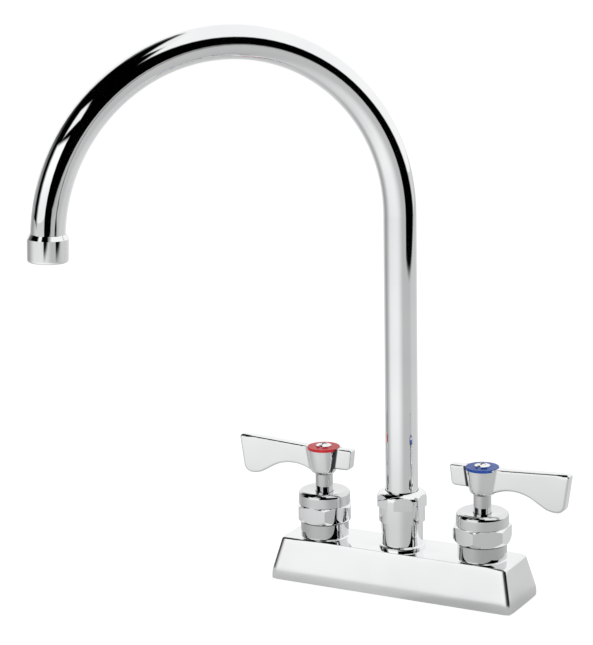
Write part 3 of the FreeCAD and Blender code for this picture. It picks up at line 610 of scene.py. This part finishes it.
def enamel(name, colour, deep):
    return finished(
        name, 0.0,
        roughness=lambda t: t.smooth(cloud(t, 800.0), 0.3, 0.7, 0.25, 0.4),
        bump=lambda t: cloud(t, 900.0), bump_depth=0.00001,
        tint=lambda t: two_tones(t, t.smooth(cloud(t, 450.0, 3.0), 0.35, 0.65), colour, deep),
        Specular_IOR_Level=0.3,
    )


index = {
    "hot": enamel("red_index", (0.62, 0.02, 0.03), (0.50, 0.012, 0.02)),
    "cold": enamel("blue_index", (0.012, 0.075, 0.36), (0.006, 0.045, 0.26)),
}

FINISH = {
    "base_body": base_chrome, "spout_tube": tube_chrome, "spout_nut": turned_chrome["spout"],
    "outlet_ferrule": tube_chrome, "spout_tail": brass["spout"], "spout_bush": brass["spout"],
    "spout_o_rings": rubber, "outlet_washer": rubber, "outlet_screen": steel, "aerator_body": white_plastic,
}
for side in ("hot", "cold"):
    FINISH.update({
        f"{side}_bonnet": shaded_bonnet_chrome[side], f"{side}_bonnet_nut": turned_chrome[side],
        f"{side}_stem": shaded_stem_chrome[side], f"{side}_handle_screw": turned_chrome[side],
        f"{side}_lever_handle": lever_chrome, f"{side}_index_ring": index[side],
        f"{side}_cartridge_body": brass[side], f"{side}_fixed_disc": ceramic,
        f"{side}_moving_disc": ceramic, f"{side}_seat_washer": rubber,
        f"{side}_cartridge_o_ring": rubber, f"{side}_stem_o_rings": rubber,
    })
for name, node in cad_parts.items():
    node.data.materials.clear()
    node.data.materials.append(FINISH[name])


# lever handles

# Sizes in millimetres, in the lever's own frame: u runs out along the wing from the stem's axis, v runs
# across it and z is the height above the deck.
HUB_FOOT, HUB_TOP = 62.7, 78.9
HUB_PROFILE = [(5.6, HUB_FOOT), (6.8, 63.4), (7.8, 64.9), (8.4, 67.0), (8.8, 69.8), (10.2, HUB_TOP)]
HUB_RIM_ROUND, HUB_SIDE_ROUND, WING_EDGE_ROUND = 0.3, 1.2, 1.1
WING_BLEND, STUB_BLEND = 2.2, 1.0
HALF_THICK = 3.2
ARCH_CENTRE, ARCH_RADIUS = np.array([19.7, 41.8]), 25.6
ARCH_ROOT = 63.6
DROP_ANGLE, DROP_LENGTH = math.radians(30.2), 7.1
LOBE_RADIUS, TIP_FOOT_ROUND, TIP_TOP_ROUND = 14.0, 4.3, 2.2
WING_REACH, TIP_LEAN, TOP_TILT = 54.6, math.radians(8.2), math.radians(3.5)
TOP_BEND, TOP_BEND_SOFTNESS = 10.2, 1.5
# Where the top edge's rounding starts to grow from the hub's to the wing's and then to the tip's, and
# over what length.
WING_ROUND_START, WING_ROUND_LENGTH = 10.4, 3.0
TIP_ROUND_START, TIP_ROUND_LENGTH = 46.0, 4.0
STUB_REACH, STUB_FOOT, STUB_ROUND, STUB_LEAN = 19.4, 66.7, 2.4, math.radians(6.0)
RING_BORE, RING_SEAT, HEAD_BORE, HEAD_SEAT, SHANK_BORE = 9.7, 77.7, 4.6, 77.4, 2.0
SOCKET_HALF, SOCKET_TOP = 3.35, 73.05
LEVER_TURN = 1.5
LEVER_CELL = 0.45
LEVER_LOW = (-STUB_REACH - 1.2, -11.3, 57.3)
LEVER_HIGH = (WING_REACH + 1.3, 11.7, 83.8)
# How far a cutter reaches past the face that it opens.
PAST = 1.0
LEVER_OVER, LEVER_UNDER = HUB_TOP + 5, HUB_FOOT - 5
SHARP_ANGLE, NUT_SHARP_ANGLE = 35, 24


def round_max(a, b, radius):
    """Where two shapes both reach, with the edge between their surfaces rounded."""
    over_a, over_b = np.maximum(a + radius, 0), np.maximum(b + radius, 0)
    return np.minimum(np.maximum(a, b), -radius) + np.sqrt(over_a**2 + over_b**2)


def round_min(a, b, radius):
    """Two shapes joined, with a fillet of this radius between them."""
    return -round_max(-a, -b, radius)


def wing_outline(u, z):
    """Distance outside the wing's side view: arched underside, lobe, leaning tip."""
    along = np.array([math.cos(DROP_ANGLE), -math.sin(DROP_ANGLE)])
    outward = np.array([math.sin(DROP_ANGLE), math.cos(DROP_ANGLE)])
    drop_start = ARCH_CENTRE + ARCH_RADIUS * outward
    lobe_start = drop_start + DROP_LENGTH * along
    lobe_centre = lobe_start + LOBE_RADIUS * outward
    arch = ARCH_RADIUS - np.hypot(u - ARCH_CENTRE[0], z - ARCH_CENTRE[1])
    arch = np.where(u < ARCH_CENTRE[0], np.maximum(arch, ARCH_ROOT - z), arch)
    travelled = (u - drop_start[0]) * along[0] + (z - drop_start[1]) * along[1]
    drop = -((u - drop_start[0]) * outward[0] + (z - drop_start[1]) * outward[1])
    lobe = np.where(
        u < lobe_centre[0],
        np.hypot(u - lobe_centre[0], z - lobe_centre[1]) - LOBE_RADIUS,
        lobe_centre[1] - LOBE_RADIUS - z,
    )
    under = np.where(travelled < 0, arch, np.where(travelled < DROP_LENGTH, drop, lobe))
    tip = (u - WING_REACH) * math.cos(TIP_LEAN) - (z - wing_top(WING_REACH)) * math.sin(TIP_LEAN)
    return round_max(under, tip, TIP_FOOT_ROUND)


def wing_top(u):
    """Height of the lever's top, level over the hub and rising along the wing."""
    past = (u - TOP_BEND + np.sqrt((u - TOP_BEND) ** 2 + TOP_BEND_SOFTNESS**2)) / 2
    return HUB_TOP + past * math.tan(TOP_TILT)


def hub_side(radius, z):
    """Distance outside the hub's turned side."""
    outside = HUB_FOOT - z
    for (r0, z0), (r1, z1) in zip(HUB_PROFILE, HUB_PROFILE[1:]):
        length = math.hypot(r1 - r0, z1 - z0)
        side = ((radius - r0) * (z1 - z0) - (z - z0) * (r1 - r0)) / length
        outside = round_max(outside, side, HUB_SIDE_ROUND)
    return outside


def lever_field(points):
    """Signed distance, roughly, from the lever's surface: negative inside."""
    u, v, z = points[..., 0], points[..., 1], points[..., 2]
    radius = np.hypot(u, v)
    across = np.abs(v) - HALF_THICK
    top = z - wing_top(u)
    wing = np.maximum(wing_outline(u, z), -u)
    wing = round_max(wing, across, WING_EDGE_ROUND)
    stub_end = (-STUB_REACH - u) * math.cos(STUB_LEAN) + (HUB_TOP - z) * math.sin(STUB_LEAN)
    stub = round_max(stub_end, STUB_FOOT - z, STUB_ROUND)
    stub = round_max(np.maximum(stub, u), across, WING_EDGE_ROUND)
    body = round_min(round_min(hub_side(radius, z), wing, WING_BLEND), stub, STUB_BLEND)
    to_wing = np.clip((radius - WING_ROUND_START) / WING_ROUND_LENGTH, 0, 1)
    to_tip = np.clip((radius - TIP_ROUND_START) / TIP_ROUND_LENGTH, 0, 1)
    edge_round = HUB_RIM_ROUND + (WING_EDGE_ROUND - HUB_RIM_ROUND) * to_wing
    edge_round = edge_round + (TIP_TOP_ROUND - WING_EDGE_ROUND) * to_tip
    return round_max(body, top, edge_round)


def gradient(field, points, step=0.01):
    slopes = []
    for axis in np.eye(3) * step:
        slopes.append((field(points + axis) - field(points - axis)) / (2 * step))
    return np.stack(slopes, -1)


def surface_of(field, low, high, cell, rounds=12, least_steepness=0.25):
    """Corners and quads of the surface where the field is 0: a grid's mixed cells, drawn onto it."""
    axes = [np.arange(start, end, cell) for start, end in zip(low, high)]
    inside = field(np.stack(np.meshgrid(*axes, indexing="ij"), -1)) < 0
    count = sum(
        inside[i:inside.shape[0] - 1 + i, j:inside.shape[1] - 1 + j, k:inside.shape[2] - 1 + k].astype(int)
        for i in (0, 1) for j in (0, 1) for k in (0, 1)
    )
    cells = np.argwhere((count > 0) & (count < 8))
    label = np.full(count.shape, -1)
    label[tuple(cells.T)] = np.arange(len(cells))
    corners = np.array(low) + (cells + 0.5) * cell
    for _ in range(rounds):
        slope = gradient(field, corners)
        steepness = np.maximum((slope**2).sum(-1, keepdims=True), least_steepness)
        corners = corners - field(corners)[:, None] * slope / steepness
    quads = []
    for axis in range(3):
        first = np.take(inside, range(inside.shape[axis] - 1), axis)
        second = np.take(inside, range(1, inside.shape[axis]), axis)
        others = [a for a in range(3) if a != axis]
        for spot in np.argwhere(first != second):
            ring = []
            for back_a, back_b in ((1, 1), (0, 1), (0, 0), (1, 0)):
                near = list(spot)
                near[others[0]] -= back_a
                near[others[1]] -= back_b
                ring.append(int(label[tuple(near)]))
            flip = bool(first[tuple(spot)]) == (axis == 1)
            quads.append(ring[::-1] if flip else ring)
    return corners, quads


def lever_mesh():
    """The lever's smooth body with its seats for ring and screw and its square socket cut in."""
    corners, quads = surface_of(lever_field, LEVER_LOW, LEVER_HIGH, LEVER_CELL)
    blank = mesh_object("lever_blank", [tuple(c) for c in corners], quads)
    square = [(sx * SOCKET_HALF, sy * SOCKET_HALF) for sx, sy in ((1, 1), (-1, 1), (-1, -1), (1, -1))]
    # each cutter ends at a height of its own, so that no two of their faces lie in one plane
    cutters = [
        prism("ring_seat", round_outline(RING_BORE), RING_SEAT, LEVER_OVER),
        prism("head_seat", round_outline(HEAD_BORE), HEAD_SEAT, LEVER_OVER + PAST),
        prism("shank_hole", round_outline(SHANK_BORE, 48), SOCKET_TOP - PAST, LEVER_OVER + 2 * PAST),
        prism("square_socket", square, LEVER_UNDER, SOCKET_TOP),
    ]
    combine(blank, cutters, "DIFFERENCE")
    return finished_mesh(blank, cutters, SHARP_ANGLE)


def make_levers():
    mesh = lever_mesh()
    for side, turn in (("hot", 180 + LEVER_TURN), ("cold", -LEVER_TURN)):
        place = Matrix.Translation((AXES[side], 0, 0)) @ Matrix.Rotation(math.radians(turn), 4, "Z")
        data = mesh.copy()
        data.transform(place)
        lever = piece_of(f"{side}_lever", data, lever_chrome)
        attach(lever, f"{side}_handle")
        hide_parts(f"{side}_lever_handle")


# base casting

# Sizes in millimetres about the spout's axis, like the casting's own. The casting is polished by hand, so
# its hips are eased into the faces, its foot draws in a little and its rim is softer towards the ends.
BASE_LENGTH, BASE_WIDTH, BASE_HEIGHT, BASE_DRAW_IN = 156.1, 44.1, 25.0, 6.0
# Radius and turn, in degrees, of each of a hip's arcs.
HIP_ARCS = [(12.0, 18.0), (1.3, 64.5), (60.0, 7.5)]
BELLY_HEIGHT, BELLY_RADIUS, FOOT_ROUND = 8.0, 28.0, 0.5
RIM_ROUND, SOFT_RIM_ROUND = 0.2, 1.6
# How far left and right the rim starts to soften, and over what length.
LEFT_SOFTENING, RIGHT_SOFTENING = (38.0, 30.0), (66.0, 8.0)
HIP_STEPS, END_STEPS, LONG_STEPS = 8, 16, 72
FOOT_STEPS, BELLY_STEPS, SIDE_STEPS, RIM_STEPS = 5, 8, 6, 8
BOSS_RADIUS, BOSS_TOP, BOSS_FOOT_ROUND = 14.2, 35.0, 0.9
BOSS_SPIGOT_RADIUS, BOSS_SPIGOT_TOP = 12.5, 41.5
BEAD_RADIUS, BEAD_TOP, BEAD_ROUND = 13.7, 26.9, 0.9
COLUMN_RADIUS, COLUMN_TOP, COLUMN_FOOT_ROUND = 12.1, 41.0, 0.6
COLUMN_SPIGOT_RADIUS, COLUMN_SPIGOT_TOP = 11.0, 50.0
# What stands on the casting starts below its top, and a boss's fillet is sunk a little into it.
ROOT_DEPTH, FILLET_SUNK = 5, 0.03
INLET_RADIUS, INLET_DEPTH, SEAT_HOLE_RADIUS, CHAMBER_FLOOR, CHAMBER_RADIUS = 10.3, 11.0, 5.0, 13.5, 10.0
COLUMN_BORE_RADIUS, COLUMN_BORE_FLOOR = 8.68, 14.0
RELIEF_NEAR, RELIEF_FAR, RELIEF_HALF_WIDTH, RELIEF_DEPTH = 14.2, 37.6, 14.0, 10.5
VALVE = VALVE_SPACING / 2 * 1000


def hip_outline():
    """The plan of one hip, from the long side through three arcs to the end, and how far it reaches."""
    points, heading = [(0.0, 0.0)], 0.0
    for radius, turn in HIP_ARCS:
        for i in range(HIP_STEPS):
            before = math.radians(heading + turn * i / HIP_STEPS)
            after = math.radians(heading + turn * (i + 1) / HIP_STEPS)
            x, y = points[-1]
            points.append((
                x + radius * (math.sin(after) - math.sin(before)),
                y + radius * (math.cos(before) - math.cos(after)),
            ))
        heading += turn
    reach, depth = points[-1]
    return [(BASE_LENGTH / 2 - reach + x, -BASE_WIDTH / 2 + y) for x, y in points], reach, depth


def base_plan():
    """The casting's outline at the foot, counterclockwise, with each point's shift per unit of draw-in."""
    front_right, reach, depth = hip_outline()
    back_right = [(x, -y) for x, y in reversed(front_right)]
    back_left = [(-x, y) for x, y in reversed(back_right)]
    front_left = [(-x, y) for x, y in reversed(front_right)]
    hips = [front_right, back_right, back_left, front_left]
    plan = []
    for hip, following, count in zip(hips, hips[1:] + hips[:1], (END_STEPS, LONG_STEPS) * 2):
        (x0, y0), (x1, y1) = hip[-1], following[0]
        plan += hip + [(x0 + (x1 - x0) * i / count, y0 + (y1 - y0) * i / count) for i in range(1, count)]
    long_half, short_half = BASE_LENGTH / 2 - reach, BASE_WIDTH / 2 - depth
    return [
        (x, y, max(-1.0, min(1.0, x / long_half)), max(-1.0, min(1.0, y / short_half))) for x, y in plan
    ]


def rim_radius(x):
    """The rounding of the casting's rim at that place along it."""
    grown = [max(0.0, min(1.0, (out - start) / length)) for out, (start, length) in (
        (-x, LEFT_SOFTENING), (x, RIGHT_SOFTENING),
    )]
    return RIM_ROUND + (SOFT_RIM_ROUND - RIM_ROUND) * max(grown[0] ** 2, grown[1])


def base_section(x):
    """Inset and height of the casting's side, from the bottom to the top, at a place along it."""
    slope = BASE_DRAW_IN / BASE_HEIGHT
    lean = math.atan(slope)

    def inset(z):
        return slope * z + max(0.0, BELLY_HEIGHT - z) ** 2 / (2 * BELLY_RADIUS)

    section = []
    for i in range(FOOT_STEPS):
        a = math.pi / 2 * (1 - i / FOOT_STEPS)
        z = FOOT_ROUND * (1 - math.sin(a))
        section.append((inset(FOOT_ROUND) + FOOT_ROUND * (1 - math.cos(a)), z))
    for i in range(BELLY_STEPS):
        z = FOOT_ROUND + (BELLY_HEIGHT - FOOT_ROUND) * i / BELLY_STEPS
        section.append((inset(z), z))
    radius = rim_radius(x)
    tangent = radius * math.tan((math.pi / 2 - lean) / 2)
    start = BASE_HEIGHT - tangent * math.cos(lean)
    for i in range(SIDE_STEPS):
        z = BELLY_HEIGHT + (start - BELLY_HEIGHT) * i / SIDE_STEPS
        section.append((inset(z), z))
    for i in range(RIM_STEPS + 1):
        a = (math.pi / 2 - lean) * i / RIM_STEPS
        along, across = radius * math.sin(a), radius * (1 - math.cos(a))
        section.append((
            inset(start) + along * math.sin(lean) + across * math.cos(lean),
            start + along * math.cos(lean) - across * math.sin(lean),
        ))
    return section


def hipped_block():
    plan = base_plan()
    sections = [base_section(x) for x, *_ in plan]
    rings = []
    for level in range(len(sections[0])):
        ring = []
        for (x, y, shift_x, shift_y), section in zip(plan, sections):
            inset, z = section[level]
            ring.append((x - inset * shift_x, y - inset * shift_y, z))
        rings.append(ring)
    return stacked("hipped_block", rings)


def make_base():
    root = BASE_HEIGHT - ROOT_DEPTH
    block = hipped_block()
    boss_foot = (BOSS_RADIUS + BOSS_FOOT_ROUND, BASE_HEIGHT + BOSS_FOOT_ROUND - FILLET_SUNK)
    bosses = [
        turned("boss", centre, [
            (BOSS_RADIUS - 1, root), *arc_points(boss_foot, BOSS_FOOT_ROUND, 270, 180),
            (BOSS_RADIUS, BOSS_TOP), (BOSS_SPIGOT_RADIUS, BOSS_TOP), (BOSS_SPIGOT_RADIUS, BOSS_SPIGOT_TOP),
        ])
        for centre in (-VALVE, VALVE)
    ]
    bead_edge = (BEAD_RADIUS - BEAD_ROUND, BEAD_TOP - BEAD_ROUND)
    column_foot = (COLUMN_RADIUS + COLUMN_FOOT_ROUND, BEAD_TOP + COLUMN_FOOT_ROUND)
    column = turned("column", 0.0, [
        (BEAD_RADIUS, root), *arc_points(bead_edge, BEAD_ROUND, 0, 90),
        *arc_points(column_foot, COLUMN_FOOT_ROUND, 270, 180), (COLUMN_RADIUS, COLUMN_TOP),
        (COLUMN_SPIGOT_RADIUS, COLUMN_TOP), (COLUMN_SPIGOT_RADIUS, COLUMN_SPIGOT_TOP),
    ])
    bore = round_outline(COLUMN_BORE_RADIUS)
    cutters = [prism("column_bore", bore, COLUMN_BORE_FLOOR, COLUMN_SPIGOT_TOP + PAST)]
    for side in (-1, 1):
        for name, radius, bottom, top in (
            ("inlet", INLET_RADIUS, -PAST, INLET_DEPTH),
            ("seat_hole", SEAT_HOLE_RADIUS, INLET_DEPTH - PAST, CHAMBER_FLOOR + PAST),
            ("chamber", CHAMBER_RADIUS, CHAMBER_FLOOR, BOSS_SPIGOT_TOP + PAST),
        ):
            cutters.append(prism(name, round_outline(radius, centre=side * VALVE), bottom, top))
        near, far = sorted((side * RELIEF_NEAR, side * RELIEF_FAR))
        half = RELIEF_HALF_WIDTH
        relief = [(near, -half), (far, -half), (far, half), (near, half)]
        cutters.append(prism("relief", relief, -PAST, RELIEF_DEPTH))
    combine(block, [*bosses, column], "UNION")
    combine(block, cutters, "DIFFERENCE")
    mesh = finished_mesh(block, [*bosses, column, *cutters], SHARP_ANGLE)
    base = piece_of("base_casting", mesh, base_chrome)
    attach(base, "base")
    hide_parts("base_body")


# bonnet nuts

# Sizes in millimetres. The nuts are buffed, so that each of their flats is slightly crowned.
NUT_HALF_WIDTH, NUT_BOTTOM, NUT_TOP, NUT_CROWN, NUT_CORNER_ROUND = 15.55, 35.0, 44.7, 64.0, 0.5
NUT_FOOT_BEVEL, NUT_TOP_BEVEL, NUT_BEVEL_WIDTH = 2.6, 1.1, 1.75
# The bevels start this far inside the flats, and their cones go on this far past the corners.
NUT_BEVEL_INSIDE, NUT_BEVEL_OUTSIDE = 0.03, 0.8
NUT_BORE, NUT_FLANGE_TOP, NUT_LIP_RADIUS = 12.6, 43.2, 9.4
FLAT_STEPS, CORNER_STEPS = 14, 5
# How far each nut is turned, in degrees, as it came to a stop when it was tightened.
NUTS = (("hot", -VALVE, -3.1), ("cold", VALVE, 34.8))


def crowned_hexagon(turn):
    """A hexagon with six slightly convex sides and small round corners, counterclockwise."""
    centre = NUT_HALF_WIDTH - NUT_CROWN
    inner = NUT_CROWN - NUT_CORNER_ROUND
    sine, cosine = math.sin(math.radians(30)), math.cos(math.radians(30))
    # where two neighbouring arcs, drawn in by the corner's round, meet on the line to the corner
    corner = centre * cosine + math.sqrt(inner ** 2 - (centre * sine) ** 2)
    reach = math.degrees(math.atan2(corner * sine, corner * cosine - centre))
    points = []
    for side in range(6):
        facing = turn + 30 + 60 * side
        flat_centre = [centre * f(math.radians(facing)) for f in (math.cos, math.sin)]
        points += arc_points(flat_centre, NUT_CROWN, facing - reach, facing + reach, FLAT_STEPS)
        bend_centre = [corner * f(math.radians(facing + 30)) for f in (math.cos, math.sin)]
        start, end = facing + reach, facing + 60 - reach
        points += arc_points(bend_centre, NUT_CORNER_ROUND, start, end, CORNER_STEPS)[1:-1]
    return points


def make_nut(name, centre, turn):
    outline = [(centre + x, y) for x, y in crowned_hexagon(turn)]
    nut = prism(name, outline, NUT_BOTTOM - PAST, NUT_TOP + PAST)
    inside = NUT_HALF_WIDTH - NUT_BEVEL_INSIDE
    outside = NUT_HALF_WIDTH + NUT_BEVEL_WIDTH + NUT_BEVEL_OUTSIDE
    steepness = (outside - inside) / NUT_BEVEL_WIDTH
    envelope = turned("bevels", centre, [
        (inside, NUT_BOTTOM), (outside, NUT_BOTTOM + NUT_FOOT_BEVEL * steepness),
        (outside, NUT_TOP - NUT_TOP_BEVEL * steepness), (inside, NUT_TOP),
    ])
    bores = [
        prism(label, round_outline(radius, centre=centre), NUT_BOTTOM - 2 * PAST, top)
        for label, radius, top in (
            ("thread", NUT_BORE, NUT_FLANGE_TOP), ("lip", NUT_LIP_RADIUS, NUT_TOP + 2 * PAST),
        )
    ]
    combine(nut, [envelope], "INTERSECT")
    combine(nut, bores, "DIFFERENCE")
    mesh = finished_mesh(nut, [envelope, *bores], NUT_SHARP_ANGLE)
    made = piece_of(name + "_crowned_nut", mesh, turned_chrome[name])
    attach(made, "base")
    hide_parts(name + "_bonnet_nut")


def make_nuts():
    for name, centre, turn in NUTS:
        make_nut(name, centre, turn)


# camera

CAMERA_BEARING, CAMERA_ELEVATION, CAMERA_ROLL = 28.23, 12.75, math.radians(-1.02)
CAMERA_AIM, CAMERA_DISTANCE = Vector((-0.06756, 0.0, 0.15235)), 1.31427
FOCAL_PIXELS = 2242.35


def make_camera():
    back = compass(CAMERA_BEARING, CAMERA_ELEVATION)
    right = compass(CAMERA_BEARING + 90, 0)
    up = back.cross(right)
    turned_right = math.cos(CAMERA_ROLL) * right + math.sin(CAMERA_ROLL) * up
    turned_up = back.cross(turned_right)
    place = CAMERA_AIM + back * CAMERA_DISTANCE
    data = bpy.data.cameras.new("camera")
    data.sensor_width = 36.0
    data.lens = FOCAL_PIXELS / max(IMAGE_WIDTH, IMAGE_HEIGHT) * data.sensor_width
    data.clip_start, data.clip_end = 0.01, 100.0
    camera = bpy.data.objects.new("camera", data)
    scene.collection.objects.link(camera)
    camera.matrix_world = Matrix((
        (turned_right.x, turned_up.x, back.x, place.x),
        (turned_right.y, turned_up.y, back.y, place.y),
        (turned_right.z, turned_up.z, back.z, place.z),
        (0, 0, 0, 1),
    ))
    scene.camera = camera


make_levers()
make_base()
make_nuts()
make_world()
make_floor()
make_lamp()
make_camera()
scene.view_settings.view_transform = "Standard"
